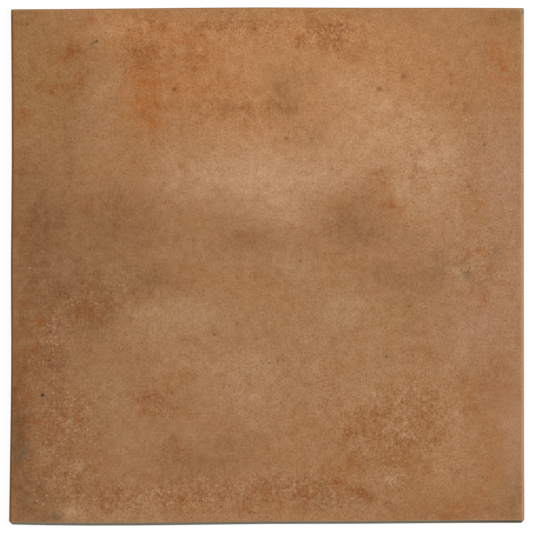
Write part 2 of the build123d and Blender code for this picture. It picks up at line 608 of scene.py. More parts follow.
# Stains, written as the washes are; one that leans has its turn in degrees too
stainLayers = {
    "bone": {
        "tint": linear(198, 156, 118), "break": 0.7, "strength": 0.42,
        "patches": [
            # back third, left to right
            (-105, 150, 14, 12, 0.35), (-103, 118, 12, 14, 0.3), (-108, 108, 10, 10, 0.3),
            (-112, 85, 16, 20, 0.25), (-124, 132, 12, 16, -1.4), (-60, 65, 14, 14, 0.35),
            (-35, 60, 25, 10, 0.35), (0, 58, 30, 9, 0.5), (35, 62, 20, 10, 0.35), (-5, 75, 20, 10, 0.3),
            (50, 118, 14, 12, 0.45), (50, 92, 14, 14, 0.35), (48, 75, 10, 10, 0.25),
            (-30, 148, 5, 4, 0.3), (60, 115, 16, 10, 0.4), (75, 106, 12, 10, 0.35),
            (78, 100, 10, 4, 0.4), (82, 92, 16, 12, 0.45), (100, 92, 10, 12, 0.35),
            (75, 82, 16, 10, 0.3), (112, 66, 10, 6, 0.45), (105, 60, 14, 10, 0.4),
            (115, 80, 14, 10, 0.3), (98, 76, 12, 8, 0.3), (60, 75, 14, 12, 0.25), (127, 94, 3, 3, 0.35),
            (116, 76, 6, 6, 0.3),
            # middle third
            (-60, 50, 10, 10, 0.3), (-137, -47, 6, 5, 0.3), (-12, 52, 12, 8, 0.6), (5, 47, 14, 8, 0.5),
            (15, 52, 16, 8, 0.4), (-35, 50, 20, 10, 0.35), (35, 52, 14, 8, 0.35), (-40, 44, 10, 8, 0.3),
            (15, 28, 12, 8, 0.25), (20, 33, 8, 6, 0.25), (88, 48, 10, 10, 0.4), (93, 40, 6, 6, 0.4),
            (100, 45, 14, 12, 0.35), (112, 50, 8, 8, 0.3), (121, 28, 2, 12, 0.4),
            (113, -16, 10, 6, 0.25), (60, -30, 10, 8, 0.3), (65, -50, 12, 8, 0.35),
            (125, -45, 5, 12, 0.35), (121, -4.4, 6, 4, 0.9),
            # front third
            (-98, -88, 6, 14, 0.35), (-124, -128, 8, 4, 0.6), (-135, -139, 6, 3, 0.5),
            (-109, -134, 3, 4, 0.4), (-90, -105, 8, 20, 0.25), (-120, -160, 12, 6, 0.5),
            (-128, -160, 6, 5, 0.35), (-70, -150, 8, 6, 0.4), (-60, -63, 10, 6, 0.4),
            (-152, -76, 6, 6, 0.3), (-123, -60, 4, 3, 0.35), (-145, -123, 6, 6, 0.25),
            (-68, -75, 3, 4, 0.3), (-15, -66, 20, 10, 0.4), (-13, -85, 8, 4, 0.35),
            (-6, -97, 4, 6, 0.45), (-8, -104, 6, 5, 0.35), (0, -85, 12, 10, 0.2),
            (-30, -70, 14, 8, 0.2), (-45, -62, 8, 6, 0.25), (30, -66, 4, 6, 0.4), (34, -94, 6, 3, 0.45),
            (52, -90, 5, 5, 0.4), (46, -95, 6, 3, 0.3), (49, -104, 4, 3, 0.4), (-36, -143, 5, 4, 0.4),
            (-17, -143, 5, 4, 0.5), (-10, -134, 4, 6, 0.4), (15, -140, 4, 4, 0.4),
            (12, -151, 4, 5, 0.35), (63, -84, 5, 4, 0.55), (60, -78, 6, 8, 0.35), (84, -83, 6, 4, 0.35),
            (90, -73, 10, 8, 0.25), (65, -117, 5, 4, 0.4), (79, -106, 5, 3, 0.45),
            (86, -107, 4, 3, 0.5), (78, -136, 5, 5, 0.4), (82, -134, 5, 4, 0.4), (68, -135, 6, 5, 0.35),
            (113, -98, 4, 5, 0.45), (122, -98, 4, 8, 0.4), (122, -115, 6, 12, 0.4),
            (108, -130, 5, 6, 0.4), (104, -135, 5, 4, 0.3), (113, -64, 6, 4, 0.4),
            (126, -58, 3, 6, 0.4), (118, -66, 6, 4, 0.35), (88, -95, 6, 6, 0.3), (110, -123, 5, 5, 0.3),
            (116, -84, 8, 6, 0.25),
        ],
    },
    "straw": {
        "tint": linear(180, 147, 108), "break": 0.3, "strength": 0.4,
        "patches": [
            (-100, -7, 12, 10, 0.35), (-70, -30, 20, 10, 0.45), (-80, -35, 12, 6, 0.3),
            (-75, -45, 20, 10, 0.3), (-88, -45, 6, 6, 0.25), (18, 3, 12, 7, 0.35), (5, 5, 8, 6, 0.25),
            (20, -5, 12, 9, 0.35), (48, -28, 10, 10, 0.45), (46, -35, 10, 8, 0.35),
            (27, -48, 5, 4, 0.4), (35, -48, 6, 5, 0.3), (-45, -28, 16, 12, 0.35),
            (-50, -35, 12, 8, 0.3), (-30, -38, 10, 4, 0.4), (-40, -38, 12, 8, 0.3),
            (-10, -33, 14, 8, 0.2), (-45, -112, 8, 5, 0.35), (-50, -106, 8, 6, 0.3),
            (-75, -112, 18, 8, 0.3), (70, -70, 12, 8, 0.25), (-5, -65, 10, 6, 0.2), (93, 40, 5, 5, 0.3),
            (133, 3, 6, 4, 0.3), (121.5, -4, 6, 4, 0.9),
        ],
    },
    "olive": {
        "tint": linear(150, 116, 68), "break": 0.3, "strength": 0.45,
        "patches": [
            (-161, 128, 7, 36, 0.5), (-148, 100, 16, 28, 0.3), (37, 160, 5, 4, 0.4),
            (0, 163.5, 60, 3, 0.3), (155, 161, 10, 6, 0.5), (160, 150, 6, 10, 0.4),
            (8, 112, 12, 12, 0.3), (22, 120, 14, 8, 0.25), (-120, 12, 10, 8, 0.3), (-112, 8, 5, 6, 0.3),
            (-40, 24, 14, 6, 0.3), (-40, 5, 20, 10, 0.25), (-50, 17, 4, 5, 0.3), (110, 8, 6, 5, 0.3),
            (90, -32, 12, 8, 0.4), (80, -32, 14, 8, 0.25), (-108, -74, 12, 8, 0.5),
            (-118, -72, 6, 8, 0.3), (-100, -80, 10, 10, 0.3), (-115, -88, 8, 6, 0.25),
            (-105, -95, 10, 8, 0.25), (-103, -112, 12, 10, 0.25), (-13, -75, 3, 3, 0.3),
            (7, -82, 3, 3, 0.25), (30, -140, 14, 6, 0.3), (38, -156, 8, 4, 0.4), (115, -90, 6, 4, 0.25),
            (64, -70, 3, 3, 0.3),
        ],
    },
    "rose": {
        "tint": linear(176, 128, 98), "break": 0.25, "strength": 0.5,
        "patches": [
            (45, 100, 10, 8, 0.2), (135, 65, 16, 14, 0.3), (155, 70, 12, 16, 0.35),
            (150, 60, 14, 14, 0.25), (140, 90, 8, 10, 0.2), (-122, 27, 6, 9, 0.3),
            (-32, 35, 8, 8, 0.25), (-35, 15, 8, 6, 0.25), (155, 38, 10, 10, 0.3),
            (145, 45, 10, 14, 0.3), (85, 10, 20, 10, 0.2), (105, 12, 10, 8, 0.2), (158, 10, 6, 20, 0.3),
            (152, -5, 10, 8, 0.35), (152, -12, 10, 8, 0.3), (137, -38, 14, 12, 0.4),
            (125, -18, 14, 10, 0.25), (160, -40, 5, 20, 0.3), (-125, -110, 12, 10, 0.25),
            (-110, -70, 5, 5, 0.3), (-85, -158, 8, 6, 0.4), (-80, -152, 10, 8, 0.25),
            (-75, -125, 8, 6, 0.25), (-88, -135, 5, 12, 0.3), (-20, -80, 18, 12, 0.3),
            (-35, -90, 12, 8, 0.25), (5, -105, 8, 6, 0.3), (33, -78, 6, 8, 0.4), (35, -85, 10, 8, 0.35),
            (47, -75, 5, 5, 0.45), (33, -101, 6, 5, 0.3), (29, -121, 4, 6, 0.35),
            (-30, -155, 16, 6, 0.35), (157, -95, 10, 12, 0.5), (152, -100, 8, 8, 0.3),
            (160, -118, 5, 24, 0.25), (134, -110, 8, 6, 0.4), (125, -133, 10, 8, 0.3),
            (140, -60, 6, 8, 0.25), (157, -62, 6, 6, 0.35), (137, -84, 8, 5, 0.3),
            (65, -155, 12, 5, 0.3), (-150, -92, 9, 7, 0.35), (-131, -42, 11, 12, 0.45),
            (-130, -3, 11, 10, 0.35), (-136, -72, 9, 8, 0.4), (-130, -106, 10, 8, 0.3),
        ],
    },
    "rust": {
        "tint": linear(154, 87, 30), "break": 0.9, "strength": 0.4,
        "patches": [
            # back left
            (-129, 152, 7, 6, 0.3), (-113, 156, 10, 6, 0.35), (-139, 138, 6, 6, 0.35),
            (-123, 140, 6, 5, 1.4), (-129, 134.5, 7, 4, 1.5, 40), (-124, 143, 4, 3, 0.6),
            (-121.5, 116.5, 3.5, 5, 0.8), (-119.5, 119, 3, 4, 0.7), (-136, 113.5, 8, 3.5, 0.9),
            (-138, 111, 3, 3, 0.2), (-127, 113, 5, 4, 0.3), (-115, 134, 5, 5, 0.3),
            (-103, 136, 9, 8, 0.3), (-122, 107, 8, 5, 0.25), (-156.5, 96.5, 4, 5, 1.0),
            (-148.6, 158.5, 3, 3, 0.8), (-111.5, 157.5, 3, 3, 0.4), (-160, 94, 5, 6, 0.3),
            (-80, 135, 14, 10, 0.45), (-77, 125, 8, 16, 0.4), (-74, 90, 8, 8, 0.6),
            (-76, 104, 8, 16, 0.4), (-68, 100, 4, 6, 0.3), (-76, 156, 7, 6, 0.7), (-85, 68, 4, 3, 0.6),
            (-66, 153, 6, 7, 0.4), (-60, 136, 16, 5, 0.4), (-60, 124, 6, 4, 0.4), (-59, 113, 3, 4, 0.4),
            # back middle
            (-45, 128, 10, 11, 0.4), (-48, 129, 6, 4, 0.35), (-40, 135, 10, 8, 0.3),
            (-45, 145, 9, 7, 0.35), (-35, 154, 12, 5, 0.45), (-42, 153, 7, 5, 0.35),
            (-20, 153, 9, 5, 0.3), (-9.5, 153.5, 4, 5, 0.8), (-35, 118, 16, 10, 0.25),
            (-30, 99, 12, 5, 0.35), (-27, 96, 4, 4, 0.6), (-22, 98, 4, 4, 0.45), (-13, 97, 4, 4, 0.45),
            (-14, 88, 5, 4, 0.45), (-48, 98, 16, 7, 0.3), (-8, 100, 10, 5, 0.3), (33, 155, 5, 5, 0.6),
            (40.5, 156, 6, 4, 0.65), (38, 152, 12, 5, 0.3), (24, 155, 5, 7, 0.55), (23, 148, 4, 5, 0.4),
            (14, 148, 6, 4, 0.4), (20, 142, 6, 5, 0.7), (38, 141, 6, 4, 0.65), (44, 144, 6, 3, 0.6),
            (2, 155, 7, 4, 0.6), (8, 161, 4, 4, 0.4), (26, 161, 6, 4, 0.5), (49.5, 160, 4, 5, 0.65),
            (53, 138, 9, 6, 0.45), (-16, 72, 5, 5, 0.3), (3, 84, 4, 6, 0.3), (10, 101, 9, 6, 0.4),
            (-54, 65, 5, 5, 0.4), (29, 69, 4, 4, 0.25),
            # back right
            (91, 158, 5, 5, 0.55), (93, 152, 5, 6, 0.35), (60, 156, 6, 6, 0.35), (64, 141, 5, 4, 0.35),
            (57, 138, 8, 6, 0.35), (75, 164, 20, 3, 0.3), (123, 143, 6, 6, 0.3), (112, 147, 5, 5, 0.3),
            (148, 135, 10, 18, 0.4), (153, 125, 7, 8, 0.4), (146, 131, 5, 7, 0.35),
            (143, 143, 7, 6, 0.4), (152, 112, 8, 10, 0.3), (155, 98, 6, 5, 0.3), (152, 87, 4, 4, 0.35),
            (148, 102, 8, 4, 0.25), (105, 128, 16, 11, 0.25), (118, 112, 12, 10, 0.25),
            (131, 98, 7, 8, 0.3), (120, 100, 8, 8, 0.2), (130, 120, 14, 13, 0.2),
            (145, 161, 10, 5, 0.45), (73, 56, 8, 7, 0.85), (97, 55.5, 6, 6, 0.85),
            (130, 57, 6, 8, 0.25),
            # middle third, left to right
            (-155, 20, 8, 10, 0.3), (-153, -23, 5, 5, 0.75), (-145, -37, 4, 5, 1.0),
            (-155, -46, 9, 7, 0.4), (-160, -54, 6, 4, 0.45), (-149, -55, 5, 3, 0.8),
            (-113, -32, 8, 4, 0.8), (-110, -24, 7, 4, 0.3), (-115, -20, 6, 9, 0.25),
            (-98, -25, 3, 4, 0.35), (-93, -28, 3, 4, 0.45), (-86.5, -36, 5, 2.5, 0.8),
            (-100, -38, 6, 4, 0.3), (-98, -48, 4, 4, 0.3), (-98, 40, 18, 8, 0.3), (-112, 38, 8, 5, 0.3),
            (-53, -5, 5, 7, 0.45), (-42, -5, 4, 6, 0.4), (-45, -12, 6, 5, 0.45), (-50, -17, 4, 4, 0.4),
            (-28, -14, 6, 5, 0.25), (-5, -8, 10, 7, 0.25), (5, -14, 8, 8, 0.2), (15, -22, 9, 4, 0.3),
            (25, -27, 5, 3, 0.25), (-12, 17, 8, 6, 0.2), (75, 45, 13, 10, 0.35), (79, 37, 7, 4, 1.2),
            (84, 34, 4, 3, 0.3), (68, 18, 4, 5, 0.4), (104, 26, 9, 7, 0.35), (112, 31, 5, 4, 0.3),
            (128, 42, 11, 11, 0.25), (134, 36, 6, 5, 0.35), (136, 42, 5, 5, 0.25), (130, 30, 6, 6, 0.3),
            (127, 22, 4, 5, 0.35), (152, 22, 8, 8, 0.3), (132, 9, 7, 3.5, 0.65), (138, 8, 4, 4, 0.35),
            (124, 8, 5, 3, 0.25), (151, 9, 5, 5, 0.3), (139, -22, 3, 6, 1.1), (139, -25, 3, 3, 0.4),
            (132, -20, 8, 8, 0.25), (140, -3, 2.5, 5, 0.8), (117, -36, 6, 6, 0.35),
            (102, -42, 4, 6, 0.4), (103, -54, 6, 4, 0.35), (57, -45, 5, 5, 0.3), (63, -37, 5, 4, 0.25),
            (72, -28, 3, 3, 0.3), (65, -40, 6, 3, 0.25), (48, 38, 10, 8, 0.3),
            # front left
            (-155, -73, 8, 8, 0.4), (-160, -60, 6, 8, 0.45), (-156, -85, 6, 7, 0.65),
            (-160, -90, 5, 7, 0.4), (-147, -102, 6, 3, 1.0), (-153, -100, 7, 3, 0.35),
            (-136, -96, 5, 5, 0.35), (-141, -109.5, 6, 4, 0.7), (-134, -104, 3, 3, 0.45),
            (-125, -95, 4, 3, 0.35), (-119, -100, 4, 4, 0.45), (-125, -120, 3, 4, 0.5),
            (-109, -125, 5, 6, 0.45), (-112, -130, 3, 4, 0.4), (-115, -117, 8, 8, 0.25),
            (-134, -133, 3, 6, 0.4), (-147, -135, 7, 4, 0.4), (-152, -128, 8, 5, 0.35),
            (-143, -132, 4, 4, 0.3), (-123, -137, 6, 5, 0.3), (-113, -145, 6, 4, 0.4),
            (-105, -145, 5, 4, 0.3), (-97, -150, 7, 4, 0.5), (-103, -148, 6, 4, 0.3),
            (-92, -147, 5, 4, 0.35), (-108, -155, 5, 5, 0.4), (-105, -157, 4, 4, 0.35),
            (-153, -160, 4, 4, 0.35), (-110, -138, 5, 4, 0.3), (-66, -144, 4, 3.5, 0.5),
            (-82, -88, 5, 4, 0.4), (-68, -84, 7, 4, 0.45), (-60, -83, 3, 3, 0.5),
            (-78, -96, 7, 4, 0.45), (-85, -96, 5, 5, 0.3), (-73, -88, 9, 5, 0.3), (-63, -76, 9, 7, 0.3),
            (-57, -114, 7, 5, 0.4), (-75, -133, 10, 4, 0.3), (-57, -155, 8, 5, 0.4),
            (-60, -150, 8, 5, 0.25), (-110, -60, 6, 8, 0.3), (-67, -59, 6, 4, 0.3),
            (-93, -60, 8, 6, 0.25),
            # front middle
            (-54, -72, 6, 8, 0.35), (-50, -70, 4, 5, 0.3), (-52, -95, 7, 5, 0.4),
            (-27, -73, 4, 5, 0.35), (13, -66, 6, 6, 0.35), (27, -71, 5, 4, 0.4), (23, -74, 5, 4, 0.3),
            (45, -62, 5, 8, 0.35), (40, -67, 6, 6, 0.3), (48, -86, 3, 3, 0.4), (-30, -100, 6, 4, 0.3),
            (20, -95, 5, 4, 0.25), (18, -110, 4, 4, 0.35), (26, -104, 7, 5, 0.3), (42, -104, 6, 3, 0.3),
            (51, -108, 4, 6, 0.55), (52, -112, 4, 4, 0.35), (46, -124, 7, 4, 0.3),
            (35, -132, 9, 2.5, 0.5), (43, -133, 6, 2.5, 0.5), (52, -128, 6, 6, 0.4),
            (48, -134, 7, 4, 0.3), (42, -140, 6, 4, 0.45), (45, -143, 7, 4, 0.3),
            (50, -142.5, 11, 3, 0.8, -22), (22, -148, 7, 3, 0.7), (25, -143, 6, 4, 0.45),
            (19, -150, 5, 4, 0.35), (-54, -115, 6, 6, 0.3), (-28, -142, 7, 4, 0.45),
            (-25, -145, 5, 4, 0.3), (-15, -157, 5, 4, 0.5), (-12, -154, 6, 4, 0.3),
            (0, -145, 7, 4, 0.35), (3, -143, 5, 5, 0.3), (-3, -152, 7, 7, 0.3), (5, -156, 5, 4, 0.45),
            (8, -153, 4, 4, 0.3), (-52, -146, 6, 7, 0.35), (-50, -157, 7, 4, 0.45),
            (-43, -153, 7, 7, 0.3), (20, -158, 7, 7, 0.3), (-12, -139, 5, 4, 0.35),
            # front right
            (103, -57, 7, 5, 0.35), (113, -58, 7, 5, 0.35), (149, -62, 6, 9, 0.45),
            (150, -70, 5, 6, 0.35), (131, -86, 4, 11, 0.55), (145, -76, 9, 4, 0.35),
            (135, -73, 11, 5, 0.3), (127, -77, 4, 4, 0.5), (130, -80, 6, 5, 0.3), (128, -90, 4, 6, 0.4),
            (133, -93, 5, 6, 0.4), (143, -108, 6, 8, 0.35), (141, -115, 7, 11, 0.3),
            (140, -128, 6, 12, 0.25), (145, -132, 7, 6, 0.3), (147, -90, 9, 7, 0.25),
            (155, -83, 7, 6, 0.25), (102, -101, 4, 4, 0.5), (97, -92, 5, 4, 0.35),
            (95, -97, 6, 6, 0.25), (97, -105, 5, 4, 0.3), (104, -112, 5, 3, 0.35),
            (109, -114, 3, 3, 0.4), (117, -119, 5, 5, 0.3), (108, -108, 4, 3, 0.3),
            (86, -113, 3, 2.5, 0.5), (82, -111, 3, 3, 0.35), (91, -117, 4, 5, 0.5),
            (85, -121, 5, 5, 0.4), (88, -126, 4, 4, 0.5), (93, -124, 4, 4, 0.35),
            (76, -123, 5, 4, 0.45), (70, -116, 6, 6, 0.4), (72, -127, 6, 5, 0.35),
            (66, -98, 6, 5, 0.35), (70, -101, 4, 4, 0.35), (66, -108, 7, 5, 0.3), (60, -107, 5, 5, 0.3),
            (57, -100, 7, 5, 0.35), (55, -127, 5, 4, 0.45), (60, -124, 6, 5, 0.35),
            (61, -134, 4, 3, 0.4), (67, -95, 5, 4, 0.3), (59, -146, 7, 3, 0.6, -15),
            (64, -147, 5, 3, 0.5), (76, -154, 3, 4, 0.45), (77, -150, 3, 3, 0.35),
            (82, -158, 7, 4, 0.35), (95, -155, 9, 5, 0.3), (98, -149, 7, 4, 0.3),
            (100, -133, 5, 4, 0.5), (96, -131, 5, 4, 0.3), (88, -133, 6, 6, 0.3),
            (104, -142, 9, 5, 0.3), (92, -142, 5, 6, 0.3), (113, -160, 5, 4, 0.65),
            (108, -160, 7, 4, 0.4), (122, -155, 7, 5, 0.5), (125, -151, 9, 4, 0.3),
            (118, -155, 5, 4, 0.4), (127, -160, 7, 4, 0.35), (135, -153, 9, 5, 0.3),
            (134, -145, 6, 5, 0.35), (148, -137, 5, 3, 0.3), (104, -82, 4, 2, 0.4),
            (78, -76, 3, 3, 0.4), (82, -79, 5, 3, 0.35), (61, -60, 5, 6, 0.3), (94, -85, 6, 5, 0.2),
        ],
    },
    "umber": {
        "tint": linear(126, 84, 46), "break": 0.7, "strength": 0.4,
        "patches": [
            # back third, left to right
            (-160, 158, 6, 6, 0.8), (-153, 155, 4, 4, 0.5), (-151, 163.3, 7, 1.3, 0.8),
            (-126, 137, 6, 4, 0.35, 40), (-122, 117, 3, 4, 0.2), (-140, 152, 8, 5, 0.3),
            (-144, 146, 5, 5, 0.25), (-134, 141, 5, 5, 0.2), (-160, 118, 4, 8, 0.3),
            (-126, 70, 8, 26, 0.35), (-128, 90, 6, 20, 0.25), (-116, 95, 10, 14, 0.2),
            (-150, 58, 13, 11, 0.45), (-160, 55, 9, 18, 0.45), (-152, 72, 10, 8, 0.25),
            (8, 110, 10, 14, 0.55), (12, 102, 9, 6, 0.36), (15, 99, 7, 4, 0.22), (22, 120, 12, 7, 0.2),
            (8, 117, 5, 5, 0.3), (30, 118, 8, 6, 0.2), (-22, 98, 4, 4, 0.3), (145, 161, 10, 5, 0.3),
            (155, 161, 9, 5, 0.45),
            # middle third
            (-134, 36, 6, 5, 0.4), (-145, 20, 7, 4, 0.5), (-128, 28, 5, 4, 0.3), (-147, 12, 9, 7, 0.4),
            (-128, -14, 8, 4, 0.7), (-131, -20, 4, 3, 0.9), (-140, -20, 9, 7, 0.35),
            (-128, -33, 7, 5, 0.4), (-125, -37, 5, 4, 0.3), (-122, -43, 3, 3, 0.3),
            (-98, 40, 20, 9, 0.15), (-88, 36, 5, 4, 0.3), (-100, 47, 11, 5, 0.3), (-103, 25, 6, 6, 0.3),
            (-98, 25, 2.5, 3, 0.5), (-79, 12, 4, 8, 0.35), (-80, 20, 10, 13, 0.3), (-58, 15, 4, 6, 0.4),
            (-54, 32, 3, 5, 0.4), (-75, -8, 14, 5, 0.35), (-77, -16, 7, 6, 0.35), (-83, -22, 5, 5, 0.3),
            (-68, -8, 7, 4, 0.3), (-57, -14, 6, 6, 0.35), (-12, 17, 8, 5, 0.4), (-5, 13, 7, 5, 0.4),
            (-18, 15, 7, 7, 0.3), (-28, 11, 5, 5, 0.3), (-20, 28, 13, 5, 0.2), (2, 22, 5, 3, 0.25),
            (28, 20, 5, 5, 0.3), (24, 13, 3, 3, 0.3), (8, 13, 5, 4, 0.2), (46, 20, 11, 7, 0.25),
            (52, 25, 9, 13, 0.25), (50, 35, 9, 9, 0.2), (43, 24, 6, 6, 0.3), (50, 10, 6, 4, 0.3),
            (62, 45, 8, 8, 0.25), (57, 28, 8, 8, 0.25), (62, 19, 8, 6, 0.35), (64, 15, 5, 4, 0.3),
            (73, 22, 9, 7, 0.3), (110, 8, 6, 5, 0.35), (105, -5, 6, 8, 0.3), (105, -12, 6, 6, 0.4),
            (109, -18, 4, 6, 0.4), (75, -6, 13, 6, 0.35), (85, -8, 13, 6, 0.3), (90, -18, 9, 9, 0.3),
            (138, -12, 4, 6, 0.3), (90, -42, 5, 4, 0.3), (0, -4, 8, 4, 0.25), (1, -43, 5, 4, 0.35),
            (40, -46, 5, 3, 0.3), (50, -42, 7, 3, 0.3), (-47, -52, 4, 3, 0.3),
            # front third
            (-162, -100, 5, 13, 0.55), (-155, -103, 7, 7, 0.4), (-162, -115, 4, 18, 0.5),
            (-150, -60, 13, 10, 0.4), (-139, -64, 7, 5, 0.55), (-130, -62, 7, 5, 0.5),
            (-146, -66, 5, 5, 0.3), (-138, -90, 9, 5, 0.4), (-136, -96, 5, 5, 0.3),
            (-148, -95, 5, 4, 0.3), (-140, -110, 7, 5, 0.3), (-145, -114, 7, 5, 0.3),
            (-118, -62, 7, 7, 0.2), (-60, -115, 9, 9, 0.3), (-65, -122, 11, 7, 0.3),
            (-62, -135, 13, 5, 0.35), (-85, -135, 7, 7, 0.25), (-25, -115, 24, 12, 0.2),
            (-40, -125, 18, 11, 0.2), (-15, -125, 14, 11, 0.15), (-10, -110, 6, 4, 0.3),
            (-24, -111, 7, 4, 0.25), (-45, -130, 18, 7, 0.15), (-2, -112, 7, 4, 0.25),
            (-35, -135, 13, 7, 0.15), (-50, -120, 7, 5, 0.2), (22, -148, 7, 3, 0.5),
            (32, -152, 9, 5, 0.3), (-11, -159, 2.5, 2.5, 0.5), (43, -116, 3, 3, 0.4),
            (61, -128, 4, 4, 0.4), (58, -145, 6, 3, 0.35), (64, -147, 4, 2.5, 0.4),
            (113, -160, 5, 4, 0.3), (140, -158, 8, 4, 0.25), (158, -148, 7, 13, 0.4),
            (155, -158, 11, 7, 0.35), (147, -150, 5, 4, 0.25), (124, -71, 3, 2, 0.4),
            (-157, -86, 5, 6, 0.35), (-147, -102, 5, 2.5, 0.4),
        ],
    },
    "slate": {
        "tint": linear(100, 84, 62), "break": 0.8, "strength": 0.42,
        "patches": [
            (-155, 163, 8, 2, 0.4), (-112, 143, 5, 1.5, 0.6, 25), (28, 87, 11, 7, 0.2),
            (12, 95, 6, 5, 0.14), (35, 88, 6, 5, 0.14), (26, 80, 8, 6, 0.16), (-158, -5, 8, 10, 0.12),
            (-128, 0, 5, 5, 0.1), (-130, -45, 9, 6, 0.1), (-68, 15, 8, 9, 0.2),
            (-138, -42.5, 2.5, 2, 0.7), (143.9, 9, 2, 7, 0.75), (128.5, -4.4, 4, 3, 0.65),
            (132, -10, 4, 3, 0.5), (117, 1.5, 7, 2.5, 0.5), (114, -4, 6, 6, 0.4), (118, 2, 8, 3, 0.3),
            (145, -2, 5, 5, 0.3), (122, -33, 3, 4, 0.35), (-158, -123, 5, 6, 0.8),
            (-155, -124, 4, 3, 0.35), (-144, -84, 2.5, 2.5, 0.3), (-135, -151, 4, 3, 1.0),
            (-135, -161.5, 5, 3.5, 1.6), (-152, -149, 4, 4, 0.3), (-158, -161, 6, 4, 0.3),
            (-48, -88, 6, 5, 0.2), (75.5, -59, 2, 2, 0.5), (137, -84, 4, 4, 0.2),
            (160, -145, 5, 18, 0.3), (92, 17, 8, 7, 0.2), (63, 22, 12, 8, 0.15),
        ],
    },
}

# Small round spots, written as the stains are
spotLayer = {
    "tint": linear(126, 74, 32), "strength": 0.5,
    "patches": [
        (12, 81, 2.5, 2.5, 0.5), (16, 67, 3, 3, 0.25), (-27, 122, 3, 3, 0.35),
        (-9, 110.5, 3, 2.5, 0.35), (-46, 71, 3, 3, 0.25), (-26, 105, 3, 3, 0.25),
        (44, 108, 5, 3, 0.25, -35), (52, 66, 3, 4, 0.2), (72.5, 112.5, 3, 2.5, 0.3),
        (87, 121, 4, 3, 0.25), (83, 131, 3, 2.5, 0.3), (117, 122, 2.5, 2.5, 0.4),
        (117.5, 116, 2, 2, 0.4), (115.5, 108, 3, 2.5, 0.35), (102, 113, 3, 3, 0.3),
        (126, 99, 2.5, 2.5, 0.45), (138, 76.5, 2.5, 2.5, 0.5), (105, 87, 2.5, 2.5, 0.3),
        (20, 2.5, 2.5, 2.5, 0.4), (33, -3, 3, 3, 0.2), (-34, -45, 2.5, 2.5, 0.4),
        (-20, -38, 2.5, 2.5, 0.3), (20, -34, 2.5, 2.5, 0.3), (117, 16, 2.5, 3, 0.3),
        (128, 50, 3, 3, 0.3), (148, 38, 4, 6, 0.15), (-98, 25, 2.5, 2.5, 0.3),
    ],
}

# Where rust and pale flecks crowd together, and with a minus sign where the face is calm
fleckZones = {
    "strength": 0.85,
    "patches": [
        (38, 150, 24, 12, 0.95), (-24, 154, 30, 8, 0.6), (-123, 130, 12, 20, 0.5),
        (-80, 138, 20, 26, 0.5), (-152, 125, 14, 40, 0.3), (-138, -52, 14, 40, 0.75),
        (-112, -24, 20, 22, 0.45), (-124, -100, 28, 22, 0.8), (-136, -140, 24, 22, 0.55),
        (-100, -150, 28, 10, 0.8), (-43, -147, 46, 11, 0.8), (28, -147, 35, 12, 0.8),
        (75, -108, 37, 30, 0.65), (104, -86, 24, 32, 0.35), (130, -2, 15, 17, 0.5),
        (108, 62, 24, 23, 0.3), (-33, 103, 16, 13, 0.4), (-4, 97, 17, 11, 0.4), (-88, -15, 17, 13, 0.4),
        (-74, -88, 16, 12, 0.7), (14, -66, 25, 21, 0.3), (156, -115, 16, 50, -0.5),
        (110, 156, 44, 12, -0.3), (-92, -106, 26, 22, -0.35), (20, 116, 26, 16, -0.3),
        (-6, 40, 60, 34, -0.2),
    ],
}

# Flecks crowd in their zones and on one kind of stain, gather in loose clouds, and thin out elsewhere
fleckLook = {
    "rust": {
        "size": 6.0, "detail": 6.0, "edge": 0.22, "tint": linear(150, 88, 42), "strength": 0.5,
        "zone": 1.0, "cloud": 0.9, "stain": "rust", "onStain": 1.2,
    },
    "ember": {
        "size": 2.4, "detail": 4.0, "edge": 0.13, "tint": linear(140, 84, 40), "strength": 0.55,
        "zone": 1.1, "cloud": 0.3, "stain": "rust", "onStain": 1.0,
    },
    "pale": {
        "size": 2.6, "detail": 4.0, "edge": 0.17, "tint": linear(194, 154, 118), "strength": 0.48,
        "zone": 0.9, "cloud": 0.7, "stain": "bone", "onStain": 0.7,
    },
    "speck": {
        "size": 1.8, "detail": 2.0, "edge": 0.1, "tint": linear(122, 74, 36), "strength": 0.58,
        "zone": 0.5, "cloud": 0.9, "stain": "umber", "onStain": 0.6,
    },
}
fleckCloud = {"size": 22.0, "edge": (0.42, 0.72), "cover": (0.03, 0.35)}

# The right edge is lighter: painted highlight of the light from the right, and glaze that thins there
rimGlazeAndHighlight = {"tint": linear(204, 160, 126), "from": (161.0, 164.6), "strength": 0.25}

pitLook = {
    "tint": linear(92, 58, 34),
    "spacing": 15.0,
    "radius": 0.55,
    "share": 0.28,
    "strength": 0.5,
    "depth": 0.2,
}
